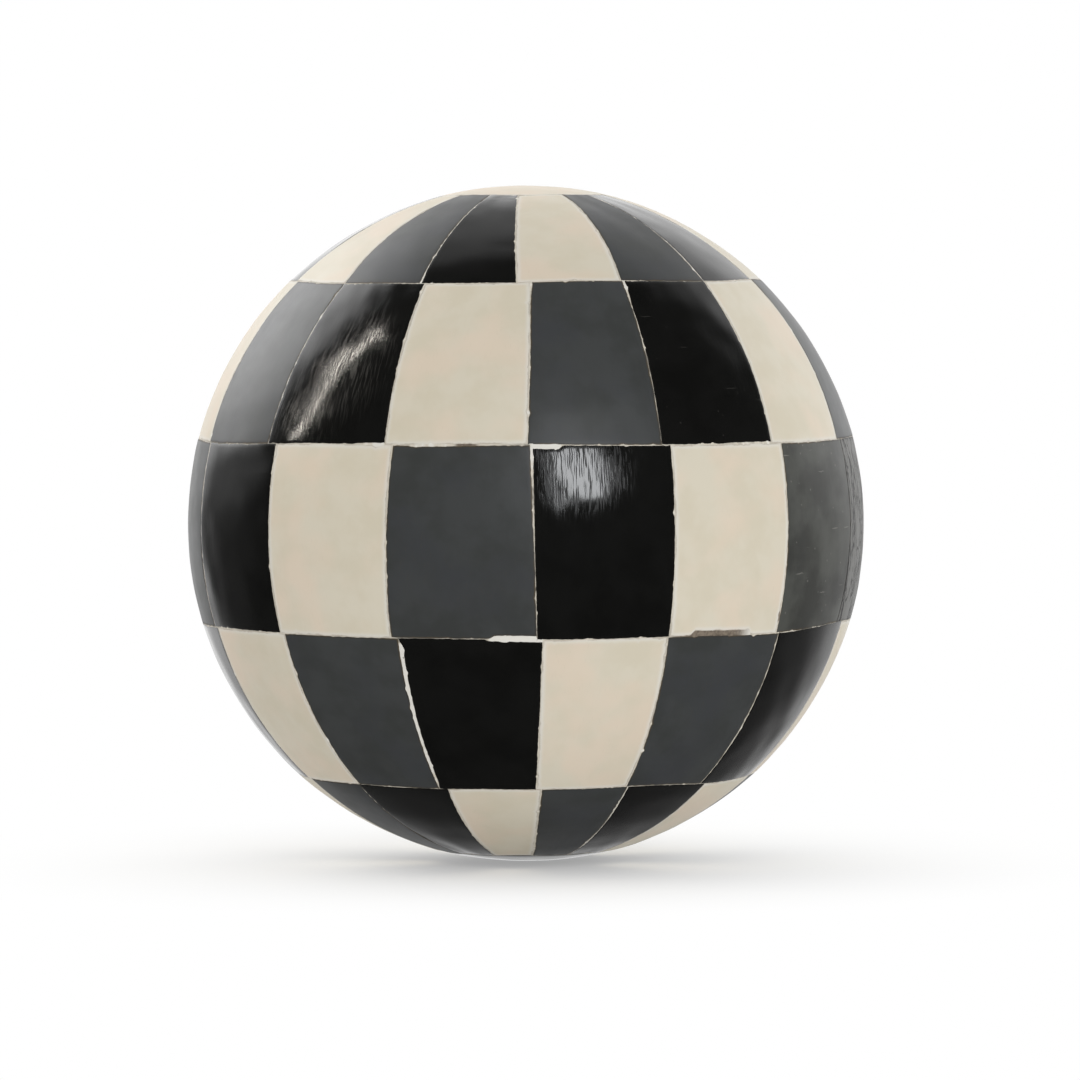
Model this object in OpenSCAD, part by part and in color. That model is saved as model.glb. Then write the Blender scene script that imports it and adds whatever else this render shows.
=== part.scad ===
// Decorative ball: a turned wooden core clad in a hand-laid check of cream, slate-grey
// and black polished bone tiles. Five rings of tiles run round it with a round cap at
// each pole, set in a glue bed and pointed up with pale resin filler.
// Millimetres, +Z up, origin at the centre of the ball, -Y is the front.

/* [Ball] */
// Diameter over the polished tiles
ball_d = 100; // [70:1:160]
// Thickness of the tile layer
tile_t = 3; // [2:0.25:5]
// Thickness of the glue bed under the tiles
glue_t = 0.5; // [0.3:0.1:1]
// Width of the filled joint between neighbouring tiles
joint_w = 0.3; // [0.2:0.05:0.8]

/* [Rings] */
// Tiles in each ring, a multiple of three so that the colour sequence closes
ring_tiles = 15; // [9:3:15]
// Latitude of the edge of the top cap, in degrees
top_cap_edge = 75.7; // [72:0.1:80]
// Latitude of the lower edge of the crown ring, in degrees
crown_edge = 45.7; // [40:0.1:50]
// Latitude of the lower edge of the upper ring, in degrees
upper_edge = 14.8; // [10:0.1:20]
// Latitude of the lower edge of the equator ring, in degrees
equator_edge = -16.8; // [-20:0.1:-10]
// Latitude of the lower edge of the lower ring, in degrees
lower_edge = -47.5; // [-50:0.1:-40]
// Latitude of the edge of the bottom cap, in degrees
bottom_cap_edge = -74.1; // [-80:0.1:-72]
// Turn of each ring relative to the ring above it, in degrees
ring_slip = 1.05; // [-3:0.05:3]

/* [Hidden] */
$fn = 180;
ball_r = ball_d / 2;
bed_r = ball_r - tile_t;
core_r = bed_r - glue_t;
tile_turn = 360 / ring_tiles;
// Cutters run past the surfaces that they open by this much
clear = 1;
// Longer than anything that a wedge or a plate has to reach
reach = ball_r + 10;
// The first joint of the upper ring stands a little left of the front
front = -90;
upper_turn = -0.3;

// Rings count from the top; the crown and foot rings lie next to the caps
RINGS = ["crown", "upper", "equator", "lower", "foot"];
COLOURS = ["cream", "grey", "black"];
SHADES = [[0.81, 0.77, 0.69], [0.27, 0.28, 0.29], [0.07, 0.07, 0.07]];
EDGES = [top_cap_edge, crown_edge, upper_edge, equator_edge, lower_edge, bottom_cap_edge];
WHOLE_RINGS = [1, 2, 3];
POLAR_RINGS = [0, 4];
LAST_TILE = ring_tiles - 1;
LAST_RING = len(RINGS) - 1;
LAST_COLOUR = len(COLOURS) - 1;

function two_digits(n) = n < 10 ? str("0", n) : str(n);
function tile_name(ring, k) = str(RINGS[ring], "_tile_", two_digits(k + 1));
function group_name(ring, c) = str(RINGS[ring], "_", COLOURS[c], "_tiles");
// Colours step by one both along a ring and from each ring to the next
function colour_of(ring, k) = (k + ring) % len(COLOURS);
function ring_start(ring) = front + upper_turn + (ring - 1) * ring_slip;

TILE_NODES = [for (ring = WHOLE_RINGS) for (k = [0:LAST_TILE]) tile_name(ring, k)];
GROUP_NODES = [for (ring = POLAR_RINGS) for (c = [0:LAST_COLOUR]) group_name(ring, c)];
BODY_NODES = ["wooden_core", "glue_bed", "joint_filler", "top_cap", "bottom_cap"];

// Which node to draw

// ---- profiles ----

// Half section of the tile layer between two radii
module layer_section(inner_r, outer_r) {
    difference() {
        circle(r = outer_r);
        circle(r = inner_r);
    }
}

// Section of one ring, held back from both latitudes by half a joint
module ring_section(ring, inner_r, outer_r) {
    high = EDGES[ring];
    low = EDGES[ring + 1];
    half = (high - low) / 2;
    apex = joint_w / 2 / sin(half);
    intersection() {
        layer_section(inner_r, outer_r);
        rotate((high + low) / 2)
            translate([apex, 0])
                polygon([[0, 0], [reach, -reach * tan(half)], [reach, reach * tan(half)]]);
    }
}

// Section of a cap above the given latitude, held back from it by half a joint
module cap_section(edge, inner_r, outer_r) {
    foot = joint_w / 2 / cos(edge);
    rise = reach * tan(edge);
    intersection() {
        layer_section(inner_r, outer_r);
        polygon([[0, foot], [reach, foot + rise], [0, foot + rise]]);
    }
}

// ---- solids of the tile layer ----

// One tile: a sector of its ring with a joint plate taken off at each side
module tile_block(ring, k, inner_r, outer_r) {
    rotate([0, 0, ring_start(ring) + k * tile_turn])
        difference() {
            rotate_extrude(angle = tile_turn)
                ring_section(ring, inner_r, outer_r);
            for (side = [0, 1])
                rotate([0, 0, side * tile_turn])
                    translate([0, -joint_w / 2, -reach])
                        cube([reach, joint_w, 2 * reach]);
        }
}

module cap_block(edge, inner_r, outer_r) {
    rotate_extrude()
        cap_section(edge, inner_r, outer_r);
}

// ---- sub-parts ----

module wooden_core() {
    color([0.62, 0.46, 0.30])
        sphere(r = core_r);
}

module glue_bed() {
    color([0.80, 0.74, 0.58])
        difference() {
            sphere(r = bed_r);
            sphere(r = core_r);
        }
}

// The web left of the tile layer when every tile and both caps are taken out of it
module joint_filler() {
    color([0.78, 0.77, 0.72])
        difference() {
            sphere(r = ball_r);
            sphere(r = bed_r);
            for (ring = [0:LAST_RING])
                for (k = [0:LAST_TILE])
                    tile_block(ring, k, bed_r - clear, ball_r + clear);
            cap_block(top_cap_edge, bed_r - clear, ball_r + clear);
            mirror([0, 0, 1])
                cap_block(-bottom_cap_edge, bed_r - clear, ball_r + clear);
        }
}

module top_cap() {
    color(SHADES[0])
        cap_block(top_cap_edge, bed_r, ball_r);
}

module bottom_cap() {
    color(SHADES[2])
        mirror([0, 0, 1])
            cap_block(-bottom_cap_edge, bed_r, ball_r);
}

module tile(ring, k) {
    color(SHADES[colour_of(ring, k)])
        tile_block(ring, k, bed_r, ball_r);
}

// The tiles of one colour in one ring
module tile_group(ring, c) {
    for (k = [0:LAST_TILE])
        if (colour_of(ring, k) == c)
            tile(ring, k);
}

// ---- assembly ----

wooden_core();
glue_bed();
joint_filler();
top_cap();
bottom_cap();

for (ring = POLAR_RINGS)
    for (c = [0:LAST_COLOUR])
        tile_group(ring, c);

for (ring = WHOLE_RINGS)
    for (k = [0:LAST_TILE])
        tile(ring, k);
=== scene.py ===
import math

import bpy
import numpy as np
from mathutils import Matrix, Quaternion, Vector


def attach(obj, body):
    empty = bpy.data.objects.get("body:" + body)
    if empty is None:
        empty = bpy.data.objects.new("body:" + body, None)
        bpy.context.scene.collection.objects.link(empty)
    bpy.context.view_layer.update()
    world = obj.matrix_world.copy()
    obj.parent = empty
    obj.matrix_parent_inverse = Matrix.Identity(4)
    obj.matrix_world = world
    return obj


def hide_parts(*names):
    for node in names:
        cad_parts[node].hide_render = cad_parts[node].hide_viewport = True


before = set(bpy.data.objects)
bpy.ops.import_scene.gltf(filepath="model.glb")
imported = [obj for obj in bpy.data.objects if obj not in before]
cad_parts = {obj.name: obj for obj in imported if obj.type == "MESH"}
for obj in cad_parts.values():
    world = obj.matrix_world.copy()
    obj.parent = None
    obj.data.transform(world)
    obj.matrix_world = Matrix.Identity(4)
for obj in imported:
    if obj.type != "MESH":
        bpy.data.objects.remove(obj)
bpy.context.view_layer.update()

# ---- sizes, in millimetres and degrees, the same as the solids ----

MM = 0.001
MICRON = 1e-6
BALL_R = 50.0
BED_R = 47.0
RING_NAMES = ["crown", "upper", "equator", "lower", "foot"]
COLOURS = ["cream", "grey", "black"]
EDGES = [75.7, 45.7, 14.8, -16.8, -47.5, -74.1]  # latitudes of the six ring joints, from the top
TILES = 15
TURN = 360.0 / TILES
SLIP = 1.05  # each ring is laid this much further round than the ring above it
FIRST = -90.3  # the upper ring's first joint, a little left of the front
RINGS = range(5)
WHOLE_RINGS = (1, 2, 3)  # the rings whose tiles each have a node of their own
PER_DEGREE = math.pi / 180 * BALL_R  # millimetres along a great circle

# Hand laying: how far a joint line strays, and how wide the tiles leave it
LINE_STRAY = 0.45  # degrees along the equator, either way, at each end of an upright joint
LINE_BOW = 0.15  # degrees, either way, in the middle of an upright joint
RING_STRAY = 0.16  # degrees, the slow wave of a ring joint
HALF_JOINT = (0.015, 0.09)  # millimetres that each tile stops short of the joint line
CHIPS = 4  # along each side of a tile
FACE_DROP = (0.03, 0.15)  # millimetres, how much flatter than the sphere a tile was left
SWELL = 0.018  # millimetres, the slow swells of a tile's face
EASE = 0.02  # millimetres, the depth to which sanding rounds a tile's edge
EASE_REACH = 0.13  # millimetres in from the edge
SUNK = 0.018  # millimetres, how far the filler has shrunk below the tiles
TUCK = 0.03  # millimetres, how far the filler runs into the wall of a tile
FILLER_DIP = 0.012  # millimetres, how much lower the middle of a joint lies
WIDE_JOINT = (0.24, 0.40)  # millimetres, the widths at which filler starts to be, and is, scraped clean
GRIME_SPREAD = 6  # steps along a ring joint to either side over which its grime changes
CAP_GAP = 0.16  # millimetres of filler on a cap's side of its joint
CAP_TURN = 15.0  # degrees from the pole to a cap's rim, in round numbers
CAP_REACH = 14.0  # the same in millimetres

# Mesh pitches in millimetres
FACE_PITCH = 0.34
CAP_PITCH = 0.5
RIB_PITCH = 0.24
CAP_COUNT = 240  # points round a cap

# Upright joints near the front that plainly lean, given to half a degree:
# (ring, joint): degrees off the regular place at the joint's head and at its foot
LEANING_JOINTS = {
    (0, -2): (0.0, 1.5), (0, -1): (2.0, 0.0), (0, 0): (-3.0, -0.5), (0, 1): (3.5, 0.5),
    (1, -2): (0.5, -1.5), (1, 0): (1.5, 0.5), (1, 2): (0.0, -1.0), (1, 3): (0.5, -2.5),
    (2, 0): (0.0, 1.0), (2, 3): (-1.5, -2.5),
    (3, 0): (1.0, 0.5), (3, 1): (-1.0, -1.0), (3, 2): (-0.5, -1.5),
    (4, -1): (1.5, 1.0), (4, 1): (-1.5, -1.0), (4, 2): (-0.5, -1.0),
}

# The tile cut from a poorer, open-grained piece of bone: (ring, tile)
POROUS = (2, 3)

# Tiles whose polish is scuffed, from nought to one
WORN = {(2, 2): 1.0, (1, 1): 0.12, (2, 5): 0.8, (3, 7): 0.6}

# Patches of coarser sanding lines left under the polish:
# (ring, tile): place across and place up from 0 to 1, reach in millimetres, strength
BRUSHED = {(2, 0): (0.35, 0.92, 7.0, 1.0), (1, -2): (0.35, 0.45, 12.0, 0.35)}

# Places where a tile was cut short and filler makes up the width:
# (ring, tile, side): (start, end, millimetres short at the start, and at the end), along the side from 0 to 1
SHORT_CUTS = {
    (3, -1, "left"): (0.04, 0.97, 0.22, 0.48),
    (2, 0, "top"): (-0.1, 0.21, 0.55, 0.55),
    (2, 0, "left"): (0.45, 1.1, 0.0, 0.42),
    (2, -1, "bottom"): (0.70, 1.1, 0.45, 0.6),
    (3, -1, "top"): (0.62, 1.1, 0.3, 0.35),
    (2, 1, "bottom"): (0.19, 0.72, 0.75, 0.75),
    (1, 1, "left"): (0.86, 1.1, 0.15, 0.45),
    (1, 0, "left"): (0.9, 1.1, 0.1, 0.3),
    (2, -1, "top"): (0.13, 1.05, 0.20, 0.10),
    (1, -2, "bottom"): (0.78, 1.1, 0.14, 0.32),
    (2, 2, "left"): (0.82, 1.1, 0.04, 0.20),
    (1, 1, "bottom"): (0.55, 1.1, 0.08, 0.24),
    (0, -1, "left"): (-0.1, 0.09, 0.35, 0.12),
    (2, 3, "left"): (-0.1, 1.1, 0.16, 0.08),
}

# Upright joints where the filler is unlike the rest: (ring, tile to the right): its grime, from below
# nought where it was scraped clean to above one where it has fallen out and left a dark crack
ODD_JOINTS = {
    (0, -1): -0.6, (0, 2): -0.5, (1, -2): -0.8, (2, -3): -0.5, (2, 3): 3.0, (3, 2): 0.1, (4, 1): -0.4,
}

# Where the filler was tinted with grinding dust: (longitude from the front, latitude, reach in mm)
DUSTED = [(33.2, -16.3, 6.3), (-10.0, 14.5, 1.6), (47.5, -14.2, 1.1)]


def rng_of(*key):
    """A random source that depends only on the whole numbers given."""
    return np.random.default_rng([int(k) + 1000 for k in key])


def wander(x, key, low, high, count=7):
    """A smooth random line: a sum of sines whose wave numbers run from low to high per unit of x, the
    fast ones smaller, scaled to stay about within plus and minus one."""
    rng = rng_of(*key)
    waves = np.geomspace(low, high, count) * rng.uniform(0.85, 1.15, count)
    size = waves ** -0.5
    phase = rng.uniform(0, 2 * np.pi, count)
    total = (size * np.sin(2 * np.pi * waves * np.asarray(x)[..., None] + phase)).sum(-1)
    return total / (1.6 * np.sqrt((size ** 2).sum() / 2))


def from_front(k):
    """The number of a tile or joint counted from the front, so that those to the left are below
    nought."""
    k = k % TILES
    return k if k <= TILES // 2 else k - TILES


def is_cream(ring, k):
    """One where a tile is cream, otherwise nought."""
    return np.where((np.asarray(k) % TILES + ring) % 3 == 0, 1, 0)


def middle_of(ring):
    """Latitude of the middle of a ring, in radians."""
    return math.radians((EDGES[ring] + EDGES[ring + 1]) / 2)


def level_of(ring, t):
    """Latitude at t, from 0 at a ring's foot to 1 at its head."""
    return EDGES[ring + 1] + t * (EDGES[ring] - EDGES[ring + 1])


def ring_line(j, lon):
    """Latitude of ring joint j at a longitude: its level plus a wave that closes round the ball."""
    rng = rng_of(11, j)
    waves = np.arange(2, 10)
    size = RING_STRAY * waves ** -0.4
    phase = rng.uniform(0, 2 * np.pi, len(waves))
    return EDGES[j] + (size * np.sin(np.radians(np.asarray(lon)[..., None] * waves) + phase)).sum(-1)


def upright_line(ring, k, t):
    """Longitude of upright joint k of a ring, t from 0 at the ring's foot to 1 at its head: a leaning
    straight line with a slight bow."""
    rng = rng_of(12, ring, k % TILES)
    stray = rng.uniform(-LINE_STRAY, LINE_STRAY, 2) / math.cos(middle_of(ring))
    bow = rng.uniform(-LINE_BOW, LINE_BOW)
    head, foot = LEANING_JOINTS.get((ring, from_front(k)), stray)
    return FIRST + (ring - 1) * SLIP + k * TURN + foot + (head - foot) * t + bow * 4 * t * (1 - t)


def shortfall(ring, k, side, s):
    """Millimetres by which a tile stops short of the joint line along one side, s from 0 to 1: a steady
    part that is halved between two dark tiles, a slow change, fine raggedness, a few chips, and a cut
    left short where one is listed."""
    k = k % TILES
    tile = from_front(k)
    number = ["left", "right", "bottom", "top"].index(side)
    rng = rng_of(13, ring, k, number)
    steady = rng.uniform(*HALF_JOINT)
    ring_step, tile_step = {"left": (0, -1), "right": (0, 1), "bottom": (1, 0), "top": (-1, 0)}[side]
    beside_dark = is_cream(ring, k) + is_cream(ring + ring_step, k + tile_step) == 0
    odd = side in ("left", "right") and (ring, tile + (side == "right")) in ODD_JOINTS
    if beside_dark and not odd:
        steady *= 0.5
    gap = steady * (1 + 0.75 * wander(s, (14, ring, k, number), 0.4, 2.5, 4))
    gap = gap + 0.026 * wander(s, (15, ring, k, number), 9, 42, 9)
    places = rng.uniform(0.03, 0.97, CHIPS)
    depths = rng.uniform(0.05, 0.2, CHIPS)
    reaches = rng.uniform(0.006, 0.016, CHIPS)
    for place, depth, reach in zip(places, depths, reaches):
        gap = gap + depth * np.exp(-((s - place) / reach) ** 2)
    if (ring, tile, side) in SHORT_CUTS:
        start, end, first, last = SHORT_CUTS[ring, tile, side]
        inside = 1 / (1 + np.exp(-(s - start) / 0.006)) / (1 + np.exp((s - end) / 0.006))
        gap = gap + inside * (first + (last - first) * np.clip((s - start) / (end - start), 0, 1))
    return np.maximum(gap, 0.004)


def globe(lon, lat, r):
    """Point at a longitude and latitude in degrees and a radius in millimetres, in metres."""
    a, b = np.radians(lon), np.radians(lat)
    toward = np.stack([np.cos(b) * np.cos(a), np.cos(b) * np.sin(a), np.sin(b)], -1)
    return toward * (np.asarray(r)[..., None] * MM)


# ---- meshes ----

def make_piece(name, points, quads, triangles, values, smooth_angle=50):
    """A mesh object from an array of points, arrays of quads and triangles, and named values at its
    points."""
    mesh = bpy.data.meshes.new(name)
    points, quads = np.asarray(points, np.float32), np.asarray(quads, np.int32).reshape(-1, 4)
    triangles = np.asarray(triangles, np.int32).reshape(-1, 3)
    corners = np.concatenate([quads.ravel(), triangles.ravel()])
    starts = np.concatenate([np.arange(len(quads)) * 4, len(quads) * 4 + np.arange(len(triangles)) * 3])
    mesh.vertices.add(len(points))
    mesh.vertices.foreach_set("co", points.ravel())
    mesh.loops.add(len(corners))
    mesh.loops.foreach_set("vertex_index", corners)
    mesh.polygons.add(len(starts))
    mesh.polygons.foreach_set("loop_start", starts.astype(np.int32))
    mesh.update(calc_edges=True)
    mesh.shade_smooth()
    mesh.set_sharp_from_angle(angle=math.radians(smooth_angle))
    for label, array in values.items():
        array = np.asarray(array, np.float32)
        kind, field = ("FLOAT_VECTOR", "vector") if array.ndim == 2 else ("FLOAT", "value")
        mesh.attributes.new(label, kind, "POINT").data.foreach_set(field, array.ravel())
    mesh.validate()
    piece = bpy.data.objects.new(name, mesh)
    bpy.context.scene.collection.objects.link(piece)
    return piece


def join_parts(parts):
    """Several (points, quads, triangles, values) made one, each part's corners numbered on from the
    last."""
    shift, points, quads, triangles, values = 0, [], [], [], {}
    for part in parts:
        points.append(part[0])
        quads.append(np.asarray(part[1]).reshape(-1, 4) + shift)
        triangles.append(np.asarray(part[2], int).reshape(-1, 3) + shift)
        for label, array in part[3].items():
            values.setdefault(label, []).append(array)
        shift += len(part[0])
    joined = {label: np.concatenate(arrays) for label, arrays in values.items()}
    return np.concatenate(points), np.concatenate(quads), np.concatenate(triangles), joined


def edge_steps(length, pitch, near=(0.045, 0.11, 0.22)):
    """Values from 0 to 1 along a length in mm: a few close rows at each end and an even pitch
    between."""
    ends = np.array(near) / length
    middle = np.linspace(ends[-1], 1 - ends[-1], max(4, int(length / pitch)))
    return np.concatenate([[0], ends[:-1], middle, 1 - ends[-2::-1], [1]])


def grid_quads(across, along):
    """Quads of a grid stored row by row, facing outwards when columns run east and rows north."""
    i, j = np.meshgrid(np.arange(across - 1), np.arange(along - 1))
    a = (j * across + i).ravel()
    return np.stack([a, a + 1, a + across + 1, a + across], -1)


def eased(edge):
    """How far sanding took the face down at a distance in mm from the tile's edge."""
    return -EASE * np.exp(-((edge / EASE_REACH) ** 2))


def face_height(s, t, wide, tall, key):
    """Height in mm of a tile's sanded face over the sphere: a broad hollow left by flat sanding, and
    two slow swells, one mostly across the tile and one mostly up it."""
    drop = rng_of(16, *key).uniform(*FACE_DROP)
    hollow = -drop * (1 - (2 * s - 1) ** 2) * (1 - (2 * t - 1) ** 2)
    swell = SWELL * wander(s * wide + 0.37 * t * tall, (17, *key), 1 / 14, 1 / 5, 4)
    swell = swell + SWELL * wander(t * tall - 0.21 * s * wide, (18, *key), 1 / 16, 1 / 6, 4)
    return hollow + swell


def tile_part(ring, k):
    """One tile. Its outer face is a grid (s, t) over the cell between two upright joints and two ring
    joints, each side drawn in by its own shortfall; the face's height over the sphere comes from
    face_height, and the last tenths of a millimetre are eased. Walls drop along the radius to the bed,
    and a fan of shrinking loops closes the back."""
    wide = math.radians(TURN) * BALL_R * math.cos(middle_of(ring))
    tall = math.radians(EDGES[ring] - EDGES[ring + 1]) * BALL_R
    s, t = np.meshgrid(edge_steps(wide, FACE_PITCH), edge_steps(tall, FACE_PITCH))
    shrink = np.cos(np.radians(level_of(ring, t))) * PER_DEGREE
    left = upright_line(ring, k, t) + shortfall(ring, k, "left", t) / shrink
    right = upright_line(ring, k + 1, t) - shortfall(ring, k, "right", t) / shrink
    lon = left + (right - left) * s
    foot = ring_line(ring + 1, lon) + shortfall(ring, k, "bottom", s) / PER_DEGREE
    head = ring_line(ring, lon) - shortfall(ring, k, "top", s) / PER_DEGREE
    lat = foot + (head - foot) * t
    from_side = np.minimum(s, 1 - s) * (right - left) * shrink
    from_end = np.minimum(t, 1 - t) * (head - foot) * PER_DEGREE
    edge = np.minimum(from_side, from_end)
    r = BALL_R + face_height(s, t, wide, tall, (ring, k % TILES)) + eased(edge)
    rows, columns = s.shape
    index = np.arange(rows * columns).reshape(rows, columns)
    loop = np.concatenate([index[0, :-1], index[:-1, -1], index[-1, :0:-1], index[:0:-1, 0]])
    lon, lat = lon.ravel(), lat.ravel()
    points = [globe(lon, lat, r.ravel())]
    quads = [grid_quads(columns, rows)]
    count, last = rows * columns, loop
    centre = lon[loop].mean(), lat[loop].mean()
    grain = np.stack([s * wide, t * tall, np.zeros_like(s)], -1).reshape(-1, 3)
    edges, grains = [edge.ravel()], [grain]
    for keep, radius in ((1.0, BALL_R - 1.0), (1.0, BED_R), (0.55, BED_R)):
        loop_lon = centre[0] + (lon[loop] - centre[0]) * keep
        loop_lat = centre[1] + (lat[loop] - centre[1]) * keep
        points.append(globe(loop_lon, loop_lat, np.full(len(loop), radius)))
        new = count + np.arange(len(loop))
        quads.append(np.stack([np.roll(last, -1), last, new, np.roll(new, -1)], -1))
        edges.append(np.zeros(len(loop)))
        grains.append(grain[loop] + [0, 0, BALL_R - radius])
        count, last = count + len(loop), new
    depth = BALL_R - BED_R
    points.append(globe(np.array([centre[0]]), np.array([centre[1]]), np.array([BED_R])))
    edges.append(np.array([depth]))
    grains.append(grain[loop].mean(0)[None] + [0, 0, depth])
    fan = np.stack([np.roll(last, -1), last, np.full(len(last), count)], -1)
    return finish_tile(points, quads, fan, edges, grains, (ring, k % TILES))


def finish_tile(points, quads, fan, edges, grains, key):
    """Puts a tile's arrays together and gives it the values that its material reads."""
    rng = rng_of(19, *key)
    points = np.concatenate(points)
    grains = np.concatenate(grains) + rng.uniform(0, 400, 3)
    count = len(points)
    place = key[0], from_front(key[1])
    across, up, reach, strength = BRUSHED.get(place, (0, 0, 1, 0))
    local = grains - grains.min(0)
    away = np.linalg.norm(local[:, :2] - np.array([across, up]) * local.max(0)[:2], axis=-1)
    values = {
        "edge_mm": np.concatenate(edges),
        "grain": grains,
        "tone": np.full(count, rng.uniform(-1, 1)),
        "porous": np.full(count, 1.0 if place == POROUS else 0.0),
        "worn": np.full(count, WORN.get(place, 0.0)),
        "brushed": strength / (1 + np.exp((away - reach) / 0.8)),
    }
    return points, np.concatenate(quads), fan, values


def cap_part(top):
    """A polar cap: rings of points (a, q) from the pole to the cap's ragged rim, a round the axis and q
    outwards, with the same face, walls and back as a tile."""
    j, sign = (0, 1) if top else (5, -1)
    key = (7 if top else 8, 0)
    share = np.arange(CAP_COUNT) / CAP_COUNT
    lon = np.arange(CAP_COUNT) * 360.0 / CAP_COUNT * sign
    gap = 0.10 + 0.05 * wander(np.cos(2 * np.pi * share), (20, j), 0.3, 2, 4)
    gap = gap + 0.03 * wander(np.sin(2 * np.pi * share), (21, j), 2, 12, 8)
    reach = 90 - np.abs(ring_line(j, lon)) - np.maximum(gap, 0.02) / PER_DEGREE
    # the close rows are wanted only at the rim, so those at the pole give way to one small ring
    q = edge_steps(reach.mean() * PER_DEGREE, CAP_PITCH)[3:]
    q = (q - q[0]) / (1 - q[0])
    q[0] = 0.035
    turn = lon[None, :] + 0 * q[:, None]
    out = q[:, None] * reach[None, :]
    edge = (reach[None, :] - out) * PER_DEGREE
    x = out * np.cos(np.radians(turn)) / CAP_TURN
    y = out * np.sin(np.radians(turn)) / CAP_TURN
    height = -0.10 * np.clip(1 - x ** 2 - y ** 2, 0, 1)
    height = height + 0.02 * wander(x * CAP_REACH, (22, j), 1 / 14, 1 / 6, 3)
    height = height + 0.02 * wander(y * CAP_REACH, (23, j), 1 / 14, 1 / 6, 3)
    r = BALL_R + height + eased(edge)
    points = [globe(turn.ravel(), sign * (90 - out.ravel()), r.ravel())]
    index = np.arange(len(q) * CAP_COUNT).reshape(len(q), CAP_COUNT)
    inner, outer = index[:-1], index[1:]
    quads = [np.stack([inner, outer, np.roll(outer, -1, 1), np.roll(inner, -1, 1)], -1).reshape(-1, 4)]
    grain = np.stack([x * CAP_REACH, y * CAP_REACH, 0 * x], -1).reshape(-1, 3)
    edges, grains = [edge.ravel()], [grain]
    total, last = len(q) * CAP_COUNT, index[-1]
    for keep, radius in ((1.0, BALL_R - 1.0), (1.0, BED_R), (0.5, BED_R)):
        points.append(globe(lon, sign * (90 - reach * keep), np.full(CAP_COUNT, radius)))
        new = total + np.arange(CAP_COUNT)
        quads.append(np.stack([last, new, np.roll(new, -1), np.roll(last, -1)], -1))
        edges.append(np.zeros(CAP_COUNT))
        grains.append(grain[-CAP_COUNT:] + [0, 0, BALL_R - radius])
        total, last = total + CAP_COUNT, new
    depth = BALL_R - BED_R
    for radius, drop in ((BALL_R + height[0].mean(), 0), (BED_R, depth)):
        points.append(globe(np.array([0.0]), np.array([90.0 * sign]), np.array([radius])))
        edges.append(np.array([depth]))
        grains.append(np.array([[0.0, 0.0, drop]]))
    crown = np.stack([np.full(CAP_COUNT, total), index[0], np.roll(index[0], -1)], -1)
    back = np.stack([last, np.full(CAP_COUNT, total + 1), np.roll(last, -1)], -1)
    return finish_tile(points, quads, np.concatenate([crown, back]), edges, grains, key)


def rib(lon_a, lat_a, lon_b, lat_b, grime, closed):
    """A rib of filler along a joint: a six-sided section carried along it, from one tile's edge to the
    next tile's, tucked a little into both walls, its back on the bed and its face sunk below the tiles
    and dipped in the middle. Wide filler was scraped clean, unless it has fallen out."""
    n = len(lon_a)
    key = (24, n, int(abs(lat_a[0]) * 100))
    across = np.stack([(lon_b - lon_a) * np.cos(np.radians(lat_a)), lat_b - lat_a], -1) * PER_DEGREE
    width = np.linalg.norm(across, axis=-1)
    grow = TUCK / np.maximum(width, 0.01)
    narrow, full = WIDE_JOINT
    wide = np.where(grime > 1, 0, np.clip((width - narrow) / (full - narrow), 0, 1))
    grime = grime * (1 - wide) - wide
    face = BALL_R - SUNK * (1 + 0.4 * wander(np.arange(n) / n, key, 4, n / 6, 9))
    bed = np.full(n, BED_R)
    dipped = face - FILLER_DIP
    section = [(-1, bed), (-1, face), (-0.25, dipped), (0.25, dipped), (1, face), (1, bed)]
    points = []
    for place, r in section:
        w = 0.5 + place * (0.5 + (grow if abs(place) == 1 else 0))
        points.append(globe(lon_a + (lon_b - lon_a) * w, lat_a + (lat_b - lat_a) * w, r))
    points = np.stack(points, 1)
    sides = len(section)
    index = np.arange(n * sides).reshape(n, sides)
    ahead = np.roll(index, -1, 0) if closed else index[1:]
    here = index if closed else index[:-1]
    quads = np.stack([here, np.roll(here, -1, 1), np.roll(ahead, -1, 1), ahead], -1).reshape(-1, 4)
    if not closed:
        first_end = index[0][[[0, 3, 2, 1], [0, 5, 4, 3]]]
        last_end = index[-1][[[0, 1, 2, 3], [0, 3, 4, 5]]]
        quads = np.concatenate([quads, first_end, last_end])
    return points.reshape(-1, 3), quads, np.zeros((0, 3), int), np.repeat(grime, sides)


def upright_rib(ring, k):
    """The filler of upright joint k of a ring, between the right side of one tile and the left side of
    the next."""
    tall = math.radians(EDGES[ring] - EDGES[ring + 1]) * BALL_R
    t = np.linspace(-0.004, 1.004, int(tall / RIB_PITCH))
    line = upright_line(ring, k, t)
    shrink = np.cos(np.radians(level_of(ring, t))) * PER_DEGREE
    inside = np.clip(t, 0, 1)
    west = line - shortfall(ring, k - 1, "right", inside) / shrink
    east = line + shortfall(ring, k, "left", inside) / shrink
    lat = ring_line(ring + 1, line) * (1 - t) + ring_line(ring, line) * t
    usual = 1.0 - 0.75 * max(is_cream(ring, k), is_cream(ring, k - 1))
    grime = ODD_JOINTS.get((ring, from_front(k)), usual) + 0 * t
    return rib(west, lat, east, lat, grime, False)


def side_gap(ring, lon, side, t):
    """Shortfall along the heads or feet of a whole ring of tiles at the given longitudes."""
    if ring not in RINGS:
        return np.full(len(lon), CAP_GAP)
    gap = np.zeros(len(lon))
    for k in range(TILES):
        left, right = upright_line(ring, k, t), upright_line(ring, k + 1, t)
        s = ((lon - left) % 360.0) / (right - left)
        here = s < 1.0
        gap[here] = shortfall(ring, k, side, s[here])
    return gap


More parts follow.
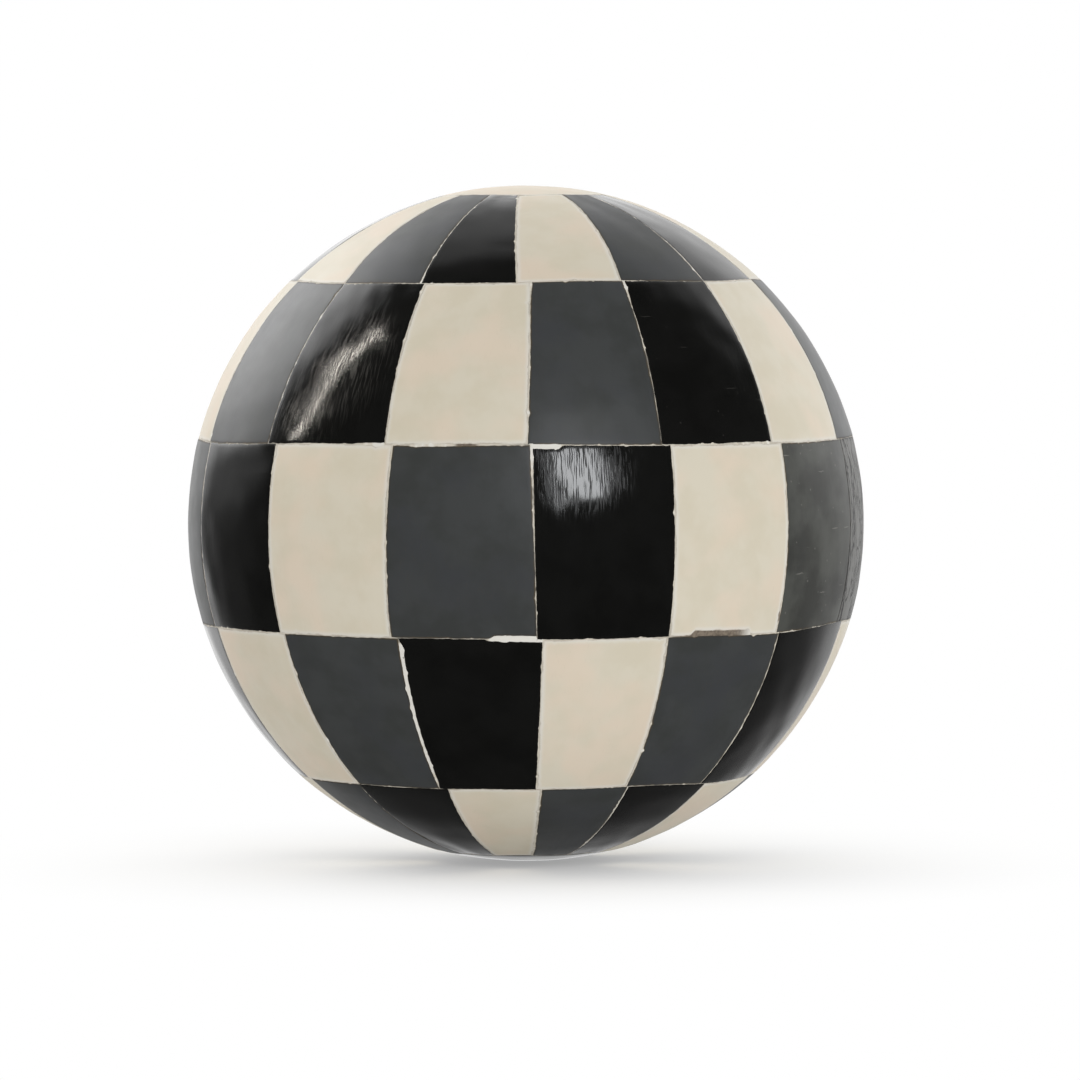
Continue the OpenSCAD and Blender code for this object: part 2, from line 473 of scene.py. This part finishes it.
def cream_beside(ring, lon):
    """One where the ring, or the cap past the last ring, is cream at a longitude, otherwise nought."""
    if ring not in RINGS:
        return 1 if ring < 0 else 0
    return is_cream(ring, np.floor((lon - FIRST - (ring - 1) * SLIP) / TURN).astype(int))


def ring_rib(j):
    """The filler of ring joint j, between the feet of the ring above it and the heads of the ring below
    it. It is cleaner beside cream tiles, with a gradual change at their corners."""
    level = math.cos(math.radians(EDGES[j]))
    lon = np.linspace(0, 360, int(2 * math.pi * BALL_R * level / RIB_PITCH), endpoint=False) - 270.0
    above = side_gap(j - 1, lon, "bottom", 0.0)
    below = side_gap(j, lon, "top", 1.0)
    line = ring_line(j, lon)
    cream = np.zeros(len(lon)) + cream_beside(j - 1, lon) + cream_beside(j, lon)
    closed = np.concatenate([cream[-GRIME_SPREAD:], cream, cream[:GRIME_SPREAD]])
    steps = 2 * GRIME_SPREAD + 1
    cream = np.convolve(closed, np.ones(steps) / steps, "valid")
    grime = np.clip(0.9 - 0.6 * cream, 0, 1)
    return rib(lon, line - below / PER_DEGREE, lon, line + above / PER_DEGREE, grime, True)


def filler_values(points, grime):
    """How dusted the filler is at each point, strongest at the listed places and fading over their
    reach, and the grime that it keeps."""
    dust = np.zeros(len(points))
    for lon, lat, reach in DUSTED:
        centre = globe(np.array([lon - 90.0]), np.array([lat]), np.array([BALL_R]))
        away = np.linalg.norm(points - centre, axis=-1) / (reach * MM)
        dust = np.maximum(dust, 1 / (1 + np.exp((away - 1) * 12)))
    return {"dust": dust, "grime": grime}


# ---- materials ----

def linear(text):
    """An sRGB colour written as six hex digits, in linear light."""
    parts = [int(text[i:i + 2], 16) / 255 for i in (0, 2, 4)]
    return tuple(c / 12.92 if c <= 0.04045 else ((c + 0.055) / 1.055) ** 2.4 for c in parts) + (1.0,)


def add(tree, kind, inputs, **settings):
    """Adds a node: settings are its own options, inputs its sockets by name or number, each a value or
    a link."""
    node = tree.nodes.new("ShaderNode" + kind)
    for option, value in settings.items():
        setattr(node, option, value)
    for socket, value in inputs.items():
        if isinstance(value, bpy.types.NodeSocket):
            tree.links.new(value, node.inputs[socket])
        else:
            node.inputs[socket].default_value = value
    return node


def calc(tree, operation, *values):
    """The result of one arithmetic operation on values or links."""
    return add(tree, "Math", dict(enumerate(values)), operation=operation).outputs[0]


def attribute(tree, name):
    """A value stored at the mesh's points."""
    return add(tree, "Attribute", {}, attribute_name=name).outputs["Fac"]


def noise(tree, place, scale, detail=2.0, roughness=0.5, distortion=0.0):
    """Cloudy noise from 0 to 1, with scale features per unit of place."""
    inputs = {"Vector": place, "Scale": scale, "Detail": detail}
    inputs.update({"Roughness": roughness, "Distortion": distortion})
    return add(tree, "TexNoise", inputs).outputs["Fac"]


def cells(tree, place, scale=1.0):
    """Distance to the nearest of a field of scattered points, scale of them per unit of place."""
    return add(tree, "TexVoronoi", {"Vector": place, "Scale": scale}).outputs["Distance"]


def stretched(tree, place, across, up, turn=0.0):
    """A place scaled across and up the tile and turned a little, so that what reads it is drawn out."""
    inputs = {"Vector": place, "Rotation": (0.0, 0.0, turn), "Scale": (across, up, 1.0)}
    return add(tree, "Mapping", inputs).outputs[0]


def bump(tree, height, microns, normal=None, dug=False):
    """A normal raised by height, or dug in by it, to a depth in micrometres, over another normal if one
    is given."""
    inputs = {"Height": height, "Strength": 1.0, "Distance": microns * MICRON}
    if normal is not None:
        inputs["Normal"] = normal
    return add(tree, "Bump", inputs, invert=dug).outputs["Normal"]


def mixed(tree, share, first, second, blend="MIX"):
    """Colour that goes from first to second as share goes from 0 to 1."""
    return add(tree, "Mix", {0: share, 6: first, 7: second}, data_type="RGBA", blend_type=blend).outputs[2]


def ranged(tree, value, low, high, to_low, to_high):
    """value carried smoothly from the range low to high onto the range to_low to to_high, and held
    there."""
    inputs = {"Value": value, "From Min": low, "From Max": high, "To Min": to_low, "To Max": to_high}
    return add(tree, "MapRange", inputs, interpolation_type="SMOOTHSTEP").outputs["Result"]


def new_material(name, colour, roughness, normal, ior=1.5):
    """A node material with one Principled shader. colour, roughness and normal are functions that take
    the tree and return a link."""
    material = bpy.data.materials.new(name)
    material.use_nodes = True
    tree = material.node_tree
    tree.nodes.clear()
    inputs = {"Base Color": colour(tree), "Roughness": roughness(tree), "Normal": normal(tree), "IOR": ior}
    shader = add(tree, "BsdfPrincipled", inputs)
    add(tree, "OutputMaterial", {"Surface": shader.outputs["BSDF"]})
    return material


def grain_of(tree):
    """The place in the bone in millimetres: x across the tile, y up it and z into it."""
    return add(tree, "Attribute", {}, attribute_name="grain").outputs["Vector"]


def fibres(tree):
    """Fibres that run up the tile: 0.22 mm across, some 4 mm long. Finer ones wouldn't show at this
    distance."""
    return noise(tree, stretched(tree, grain_of(tree), 4.5, 0.25), 1.0, 3.0, 0.65)


def open_grain(tree):
    """The open grain of a poorer piece of bone: dark wriggling cracks that run up it, from 0 to 1."""
    wriggle = noise(tree, stretched(tree, grain_of(tree), 1.6, 0.30), 0.6, 4.0, 0.5, 0.6)
    from_crack = calc(tree, "ABSOLUTE", calc(tree, "SUBTRACT", wriggle, 0.5))
    return calc(tree, "MULTIPLY", ranged(tree, from_crack, 0.012, 0.05, 1.0, 0.0), attribute(tree, "porous"))


def scuffs(tree):
    """Scuffs left by handling: light scratches across a tile, 0.2 mm wide and 2.5 mm long, and light
    specks."""
    grain = grain_of(tree)
    scratches = ranged(tree, cells(tree, stretched(tree, grain, 0.16, 2.1, 0.08), 0.5), 0.05, 0.12, 1.0, 0.0)
    specks = ranged(tree, cells(tree, grain, 0.55), 0.05, 0.11, 0.8, 0.0)
    marks = calc(tree, "MAXIMUM", scratches, specks)
    return calc(tree, "MULTIPLY", marks, attribute(tree, "worn"))


def bone_material(name, tones, blush, rim, line, rough, streak_um, dent_um, fibre_shade, pore_share):
    """Sawn, dyed and polished bone. tones are two colours of slow mottling and blush a third in soft
    patches. rim is the colour beside a joint, where the bone is thin at its sanded edge, how far in it
    reaches in mm and its share: on cream it is a painted glow that stands in for light passing through
    the thin bone, on grey and black a darker tint. line is the colour of the dirt in the very edge, and
    its share. rough is the roughness and its spread. streak_um and dent_um are the depths in micrometres
    of the upright sanding streaks and of the slow dents, fibre_shade is how far the fibres change the
    colour, and pore_share how dark the pores are."""
    rim_tint_and_glow, rim_reach, rim_share = rim
    line_colour, line_share = line
    middling, spread = rough

    def colour(tree):
        grain = grain_of(tree)
        porous = attribute(tree, "porous")
        worn = attribute(tree, "worn")
        # mottling about 6 mm across, and blushes about 9 mm across
        mottle = noise(tree, grain, 0.17, 3.0, 0.6)
        patch = noise(tree, grain, 0.11)
        shown = mixed(tree, ranged(tree, mottle, 0.35, 0.65, 0.0, 1.0), linear(tones[0]), linear(tones[1]))
        shown = mixed(tree, ranged(tree, patch, 0.42, 0.70, 0.0, 0.75), shown, linear(blush))
        lift = calc(tree, "MULTIPLY_ADD", attribute(tree, "tone"), 0.02, 1.0)
        shade = calc(tree, "MULTIPLY_ADD", fibres(tree), fibre_shade, -fibre_shade / 2)
        shade = calc(tree, "ADD", lift, shade)
        grey = add(tree, "CombineXYZ", {0: shade, 1: shade, 2: shade}).outputs[0]
        shown = mixed(tree, 1.0, shown, grey, "MULTIPLY")
        # the ragged edge in mm: the true edge moved in and out by up to 0.12 mm
        rag = noise(tree, grain, 3.2, 3.0, 0.7)
        ragged = calc(tree, "MULTIPLY_ADD", rag, -0.30, attribute(tree, "edge_mm"))
        ragged = calc(tree, "ADD", ragged, 0.15)
        # beside a joint the colour goes to the rim's: on cream a painted glow for light through the thin
        # edge, on grey and black a darker tint
        shown = mixed(tree, ranged(tree, ragged, 0.1, rim_reach, rim_share, 0.0), shown, linear(rim_tint_and_glow))
        # an open-grained piece is painted paler, a painted reflection of the white studio it catches at the
        # ball's rim, and is cracked
        shown = mixed(tree, calc(tree, "MULTIPLY", porous, 0.35), shown, linear("A4A39E"))
        shown = mixed(tree, calc(tree, "MULTIPLY", open_grain(tree), 0.95), shown, linear("141210"))
        # a worn tile is clouded and scuffed
        cloud = noise(tree, grain, 0.15, 3.0)
        clouded = mixed(tree, ranged(tree, cloud, 0.35, 0.66, 0.0, 1.0), linear("363631"), linear("50514B"))
        shown = mixed(tree, ranged(tree, worn, 0.4, 1.0, 0.0, 0.75), shown, clouded)
        shown = mixed(tree, calc(tree, "MULTIPLY", scuffs(tree), 0.32), shown, linear("A9A69E"))
        # pores are dark dashes 0.12 mm across and 1 mm long, thick in some patches and thin in others
        pore = ranged(tree, cells(tree, stretched(tree, grain, 3.0, 0.40)), 0.08, 0.22, 1.0, 0.0)
        pores = calc(tree, "MULTIPLY", pore, ranged(tree, patch, 0.38, 0.60, 0.1, 1.0))
        shown = mixed(tree, calc(tree, "MULTIPLY", pores, pore_share), shown, linear(line_colour))
        dirty = ranged(tree, noise(tree, grain, 0.35, 1.0), 0.40, 0.60, 0.15 * line_share, line_share)
        dirt = calc(tree, "MULTIPLY", ranged(tree, ragged, 0.05, 0.26, 1.0, 0.0), dirty)
        return mixed(tree, dirt, shown, linear(line_colour))

    def roughness(tree):
        grain = grain_of(tree)
        dull = calc(tree, "MULTIPLY_ADD", fibres(tree), spread, middling - spread / 2)
        dull = calc(tree, "MULTIPLY_ADD", noise(tree, grain, 0.45), spread * 0.8, dull)
        # sanding lines 0.15 mm across and 3 mm long that stay dull where the polish did not reach them
        drawn = noise(tree, stretched(tree, grain, 6.0, 0.35, 0.07), 1.0, 1.0)
        lines = calc(tree, "MULTIPLY", ranged(tree, drawn, 0.50, 0.62, 0.0, 1.0), attribute(tree, "brushed"))
        dull = calc(tree, "MULTIPLY_ADD", lines, 0.38, dull)
        dull = calc(tree, "MULTIPLY_ADD", attribute(tree, "porous"), 0.35, dull)
        return calc(tree, "ADD", ranged(tree, attribute(tree, "edge_mm"), 0.0, 0.35, 0.12, 0.0), dull)

    def normal(tree):
        streaks = bump(tree, fibres(tree), streak_um)
        dents = bump(tree, noise(tree, grain_of(tree), 0.2, 0.0), dent_um, streaks)
        return bump(tree, open_grain(tree), 120.0, dents, True)

    return new_material(name, colour, roughness, normal)


def cream_bone():
    """Bleached bone, sanded and buffed: warm ivory, soft gloss, with a pale painted glow at the thin sanded
    edge.
    """
    # the pale, cool rim colour is a painted glow for light passing through the thin edge of the bone
    return bone_material("bleached_bone_buffed", tones=("D1C8B3", "D5CDBA"), blush="DCCCB8",
                         rim=("DEDDD9", 0.8, 0.50), line=("8A7860", 0.5), rough=(0.40, 0.10),
                         streak_um=4.0, dent_um=25.0, fibre_shade=0.012, pore_share=0.05)


def grey_bone():
    """Bone dyed slate grey: satin, darker and browner in the edge where the glue shows through."""
    return bone_material("slate_dyed_bone_satin", tones=("3A3C3B", "404242"), blush="3D3F42",
                         rim=("38342F", 0.35, 0.6), line=("554936", 0.95), rough=(0.36, 0.10),
                         streak_um=6.0, dent_um=25.0, fibre_shade=0.06, pore_share=0.18)


def black_bone():
    """Bone or horn dyed black and polished: near black, glossy, its upright streaks seen only in a
    highlight."""
    return bone_material("black_dyed_bone_polished", tones=("0F0F0E", "131312"), blush="141413",
                         rim=("12110F", 0.35, 0.5), line=("26231E", 0.35), rough=(0.09, 0.05),
                         streak_um=8.0, dent_um=125.0, fibre_shade=0.06, pore_share=0.0)


def place_of(tree):
    """The place on the object, in metres."""
    return add(tree, "TexCoord", {}).outputs["Object"]


def filler_material():
    """Pale polyester filler, pressed into the joints and sanded back: chalky cream, here and there
    greyed by dust from the dark tiles, with pinholes."""

    def grit(tree):
        # grains 0.4 mm across
        return noise(tree, place_of(tree), 2500.0)

    def pinholes(tree):
        return ranged(tree, cells(tree, place_of(tree), 480.0), 0.03, 0.07, 1.0, 0.0)

    def colour(tree):
        grains = grit(tree)
        grime = attribute(tree, "grime")
        shown = mixed(tree, ranged(tree, grains, 0.3, 0.7, 0.0, 1.0), linear("CEC6B5"), linear("D5CEC0"))
        shown = mixed(tree, ranged(tree, grime, -1.0, 0.0, 0.9, 0.0), shown, linear("E0DDD5"))
        # stretches of cleaner and dirtier filler about 7 mm long
        stretch = ranged(tree, noise(tree, place_of(tree), 140.0), 0.42, 0.60, 0.12, 0.85)
        shown = mixed(tree, calc(tree, "MULTIPLY", stretch, grime), shown, linear("4C483F"))
        shown = mixed(tree, ranged(tree, grime, 1.2, 2.0, 0.0, 1.0), shown, linear("22201D"))
        brown = mixed(tree, ranged(tree, grains, 0.35, 0.65, 0.0, 1.0), linear("6A5E50"), linear("857868"))
        shown = mixed(tree, attribute(tree, "dust"), shown, brown)
        return mixed(tree, calc(tree, "MULTIPLY", pinholes(tree), 0.7), shown, linear("4A443B"))

    def roughness(tree):
        return ranged(tree, grit(tree), 0.2, 0.8, 0.45, 0.7)

    def normal(tree):
        return bump(tree, pinholes(tree), 60.0, bump(tree, grit(tree), 15.0), True)

    return new_material("pale_resin_filler_sanded", colour, roughness, normal, 1.55)


def core_material():
    """Turned hardwood, left rough for the glue: year rings 2 mm apart about an axis across the ball,
    lathe lines."""

    def year_rings(tree):
        place = place_of(tree)
        bent = add(tree, "TexNoise", {"Vector": place, "Scale": 30.0, "Detail": 2.0}).outputs["Color"]
        moved = {0: bent, 1: (0.004, 0.004, 0.004), 2: place}
        wavy = add(tree, "VectorMath", moved, operation="MULTIPLY_ADD")
        inputs = {"Vector": wavy.outputs[0], "Scale": 160.0, "Distortion": 1.5, "Detail": 2.0}
        return add(tree, "TexWave", inputs, wave_type="RINGS", rings_direction="X").outputs["Fac"]

    def colour(tree):
        return mixed(tree, year_rings(tree), linear("B08A60"), linear("8A6540"))

    def roughness(tree):
        return ranged(tree, year_rings(tree), 0.0, 1.0, 0.55, 0.75)

    def normal(tree):
        inputs = {"Vector": place_of(tree), "Scale": 600.0, "Distortion": 0.5}
        return bump(tree, add(tree, "TexWave", inputs, bands_direction="Z").outputs["Fac"], 30.0)

    return new_material("turned_hardwood_raw", colour, roughness, normal)


def glue_material():
    """Set epoxy: amber, glossy in the hollows, with a combed, lumpy face."""

    def lumps(tree):
        return noise(tree, place_of(tree), 220.0, 3.0)

    def colour(tree):
        return mixed(tree, lumps(tree), linear("C2A468"), linear("D9C690"))

    def roughness(tree):
        return ranged(tree, lumps(tree), 0.3, 0.7, 0.25, 0.5)

    def normal(tree):
        return bump(tree, lumps(tree), 120.0)

    return new_material("set_amber_epoxy", colour, roughness, normal, 1.55)


# ---- the ball ----

BONE = {"cream": cream_bone(), "grey": grey_bone(), "black": black_bone()}


def place_piece(part, name, material, node_name, smooth_angle=50):
    """Makes a finished piece and gives it its material and its place in the frame."""
    piece = make_piece(name, *part, smooth_angle)
    piece.data.materials.append(material)
    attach(piece, "root")
    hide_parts(node_name)


def place_tiles(part, node_name, colour):
    """Places a tile, a group of tiles or a cap of one colour."""
    place_piece(part, "laid_" + node_name, BONE[colour], node_name)


for ring in RINGS:
    whole = ring in WHOLE_RINGS
    for k in range(TILES if whole else len(COLOURS)):
        colour = COLOURS[(k + ring) % len(COLOURS)]
        if whole:
            place_tiles(tile_part(ring, k), f"{RING_NAMES[ring]}_tile_{k + 1:02d}", colour)
        else:
            same = [tile_part(ring, other) for other in range(k, TILES, len(COLOURS))]
            place_tiles(join_parts(same), f"{RING_NAMES[ring]}_{colour}_tiles", colour)

place_tiles(cap_part(True), "top_cap", "cream")
place_tiles(cap_part(False), "bottom_cap", "black")

ribs = [ring_rib(j) for j in range(len(EDGES))]
ribs += [upright_rib(ring, k) for ring in RINGS for k in range(TILES)]
filler = join_parts([(*part[:3], filler_values(part[0], part[3])) for part in ribs])
place_piece(filler, "pressed_joint_filler", filler_material(), "joint_filler", 40)

for node_name, material in (("wooden_core", core_material()), ("glue_bed", glue_material())):
    cad_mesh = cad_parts[node_name].data
    cad_mesh.materials.clear()
    cad_mesh.materials.append(material)


# ---- floor, light and camera ----

def floor_disc(radius, z):
    """A flat round floor: points (a, q) on circles whose radii grow outwards."""
    count = 96
    a = np.arange(count) * 2 * np.pi / count
    rings = radius * np.array([0.02, 0.1, 0.3, 1.0])
    circles = [np.stack([q * np.cos(a), q * np.sin(a), z + 0 * a], -1) for q in rings]
    points = np.concatenate([[[0, 0, z]]] + circles)
    index = 1 + np.arange(len(rings) * count).reshape(len(rings), count)
    inner, outer = index[:-1], index[1:]
    quads = np.stack([inner, outer, np.roll(outer, -1, 1), np.roll(inner, -1, 1)], -1)
    fan = np.stack([np.zeros(count, int), index[0], np.roll(index[0], -1)], -1)
    return make_piece("studio_floor", points, quads, fan, {}, 40)


def paper_material():
    """Matt white paper that takes the ball's shadow, burnt out to white away from it as a lit sweep
    is."""
    paper = bpy.data.materials.new("white_studio_paper")
    paper.use_nodes = True
    tree = paper.node_tree
    tree.nodes.clear()
    away = add(tree, "VectorMath", {0: place_of(tree)}, operation="LENGTH").outputs["Value"]
    matt = add(tree, "BsdfDiffuse", {"Color": linear("F2F2F0")})
    white = add(tree, "Emission", {"Color": linear("FFFFFF"), "Strength": 1.0})
    burnt = ranged(tree, away, 0.015, 0.105, 0.0, 1.0)
    blend = add(tree, "MixShader", {0: burnt, 1: matt.outputs[0], 2: white.outputs[0]})
    add(tree, "OutputMaterial", {"Surface": blend.outputs[0]})
    return paper


FLOOR_CLEARANCE = 0.00005
floor = floor_disc(6.0, -BALL_R * MM - FLOOR_CLEARANCE)
floor.data.materials.append(paper_material())
floor.visible_glossy = False


def panel(name, direction, distance, width, height, radiance, colour, roll=0.0):
    """A soft box that stands off the ball in a direction and faces it, its face of the given
    brightness."""
    light = bpy.data.lights.new(name, "AREA")
    light.shape = "RECTANGLE"
    light.size = width
    light.size_y = height
    light.energy = radiance * math.pi * width * height
    light.color = colour
    box = bpy.data.objects.new(name, light)
    toward = Vector(direction).normalized()
    box.location = toward * distance
    box.rotation_mode = "QUATERNION"
    box.rotation_quaternion = toward.to_track_quat("Z", "Y") @ Quaternion((0, 0, 1), math.radians(roll))
    bpy.context.scene.collection.objects.link(box)


panel("key_softbox", (0.30, -0.90, 0.32), 1.4, 0.38, 0.38, 11.0, (0.96, 0.98, 1.0), 14.0)
panel("strip_softbox", (-0.80, 0.0, 0.60), 1.3, 0.012, 0.80, 85.0, (1.0, 0.94, 0.85))


def facing(tree, look, direction):
    """How nearly a look is in a direction, one when it is exactly."""
    inputs = {0: look, 1: Vector(direction).normalized()}
    return add(tree, "VectorMath", inputs, operation="DOT_PRODUCT").outputs["Value"]


def studio_glow(tree):
    """Brightness of the white studio in each direction: a wall and a diffuser behind the ball, and a
    pale room in front that fills the matt bone but is kept out of its reflections by black flags."""
    look = add(tree, "TexCoord", {}).outputs["Generated"]
    x, y, z = add(tree, "SeparateXYZ", {0: look}).outputs
    # the wall is bright down to the horizon, with a strip of lit floor in front of it
    ahead = ranged(tree, y, 0.55, 0.90, 0.25, 1.0)
    lit_floor = calc(tree, "MULTIPLY", ranged(tree, z, -0.65, 0.08, 0.2, 1.0), ahead)
    down_to = calc(tree, "MAXIMUM", ranged(tree, z, -0.10, 0.12, 0.0, 1.0), lit_floor)
    over_flag = ranged(tree, z, 0.08, 0.28, 0.0, 1.0)
    left_flag = calc(tree, "MAXIMUM", ranged(tree, x, -0.72, -0.52, 0.25, 1.0), over_flag)
    wall = calc(tree, "MULTIPLY", ranged(tree, y, 0.15, 0.50, 0.0, 1.25), down_to)
    wall = calc(tree, "MULTIPLY", wall, left_flag)
    wall = calc(tree, "MULTIPLY", wall, ranged(tree, z, 0.45, 0.80, 1.0, 0.4))
    # a large diffuser hangs behind the ball on the upper left
    diffuser = ranged(tree, facing(tree, look, (-0.60, 0.60, 0.53)), 0.885, 0.98, 0.0, 2.0)
    glow = calc(tree, "ADD", wall, diffuser)
    pale = ranged(tree, facing(tree, look, (0.55, -0.10, 0.83)), -0.2, 1.0, 0.24, 0.76)
    path = add(tree, "LightPath", {}).outputs
    room = add(tree, "Mix", {0: path["Is Glossy Ray"], 2: pale, 3: 0.02}, data_type="FLOAT").outputs[0]
    glow = calc(tree, "ADD", glow, room)
    return add(tree, "Mix", {0: path["Is Camera Ray"], 2: glow, 3: 1.0}, data_type="FLOAT").outputs[0]


world = bpy.data.worlds.new("white_studio")
world.use_nodes = True
bpy.context.scene.world = world
sky = world.node_tree
sky.nodes.clear()
background = add(sky, "Background", {"Color": linear("FFFFFF"), "Strength": studio_glow(sky)})
add(sky, "OutputWorld", {"Surface": background.outputs[0]})

camera = bpy.data.objects.new("camera", bpy.data.cameras.new("camera"))
bpy.context.scene.collection.objects.link(camera)
bpy.context.scene.camera = camera
# a long lens stands twenty radii off, so that the ball fills five eighths of the frame's width
DISTANCE = 20 * BALL_R * MM
RISE = math.radians(2.2)
ROLL = math.radians(0.25)
back = Vector((0.0, -math.cos(RISE), math.sin(RISE)))
camera.location = back * DISTANCE
camera.rotation_mode = "QUATERNION"
camera.rotation_quaternion = (-back).to_track_quat("-Z", "Y") @ Quaternion((0, 0, 1), -ROLL)
camera.data.sensor_width = 36.0
camera.data.lens = 225.25
camera.data.shift_x = 0.013
camera.data.shift_y = -0.0155
camera.data.clip_start = 0.01
camera.data.clip_end = 100.0

bpy.context.scene.view_settings.view_transform = "Standard"
bpy.context.scene.view_settings.look = "None"
